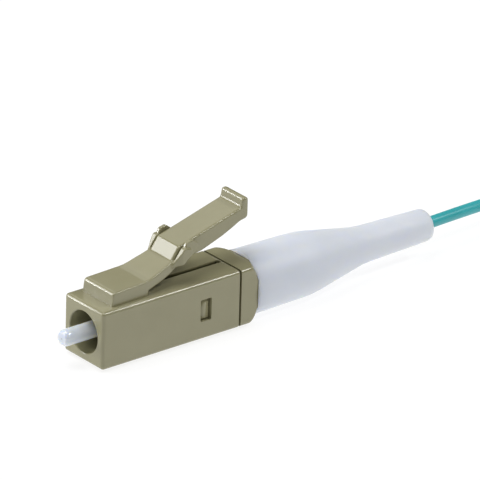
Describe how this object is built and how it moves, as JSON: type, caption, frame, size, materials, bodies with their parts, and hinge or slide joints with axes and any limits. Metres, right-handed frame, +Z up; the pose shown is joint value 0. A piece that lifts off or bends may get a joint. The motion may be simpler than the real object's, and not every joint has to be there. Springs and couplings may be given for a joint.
{
  "type": "fibre optic connector",
  "caption": "Square-bodied fibre connector with a sprung ceramic ferrule, a latch arm on top, a tapered strain-relief boot and a thin bare-ended pigtail",
  "frame": {"origin": "on the table under the middle of the connector's length, from the ferrule's tip to the boot's cable end", "axes": "+X from the ferrule's tip towards the cable, +Y across the connector, +Z up through the latch"},
  "size_m": [0.0751, 0.0122, 0.0098],
  "materials": {
    "housing_plastic": "satin moulded beige plastic",
    "boot_rubber": "satin white elastomer with a faint blue cast",
    "ceramic": "polished white zirconia",
    "plated_metal": "nickel-plated turned metal",
    "fibre_glass": "clear silica",
    "fibre_coating": "clear tinted acrylate coating",
    "epoxy": "cured amber adhesive",
    "spring_steel": "bright stainless wire",
    "cable_jacket": "aqua polymer buffer, smooth satin",
    "tie_band": "white flat plastic band"
  },
  "bodies": {
    "housing": {"front_housing": "housing_plastic", "rear_body": "housing_plastic", "strain_boot": "boot_rubber", "buffer_inside": "cable_jacket", "ferrule_spring": "spring_steel", "fibre_cord": "cable_jacket", "fibre_hank": "cable_jacket", "hank_tie_left": "tie_band", "hank_tie_right": "tie_band"},
    "latch": {"latch_lever": "housing_plastic"},
    "ferrule_assembly": {"ferrule": "ceramic", "ferrule_flange": "plated_metal", "bare_fibre": "fibre_glass", "coated_fibre": "fibre_coating", "epoxy_bead": "epoxy"}
  },
  "joints": [
    {"name": "latch_bend", "type": "hinge", "parent": "housing", "child": "latch", "pos_m": [-0.00953, 0, 0.00565], "axis": [0, 1, 0], "range_deg": [0, 14], "stiffness_Nm_per_rad": 0.12},
    {"name": "ferrule_float", "type": "slide", "parent": "housing", "child": "ferrule_assembly", "axis": [1, 0, 0], "range_m": [0, 0.0008], "stiffness_N_per_m": 900, "springref_m": -0.006, "deforming": ["ferrule_spring"]}
  ]
}
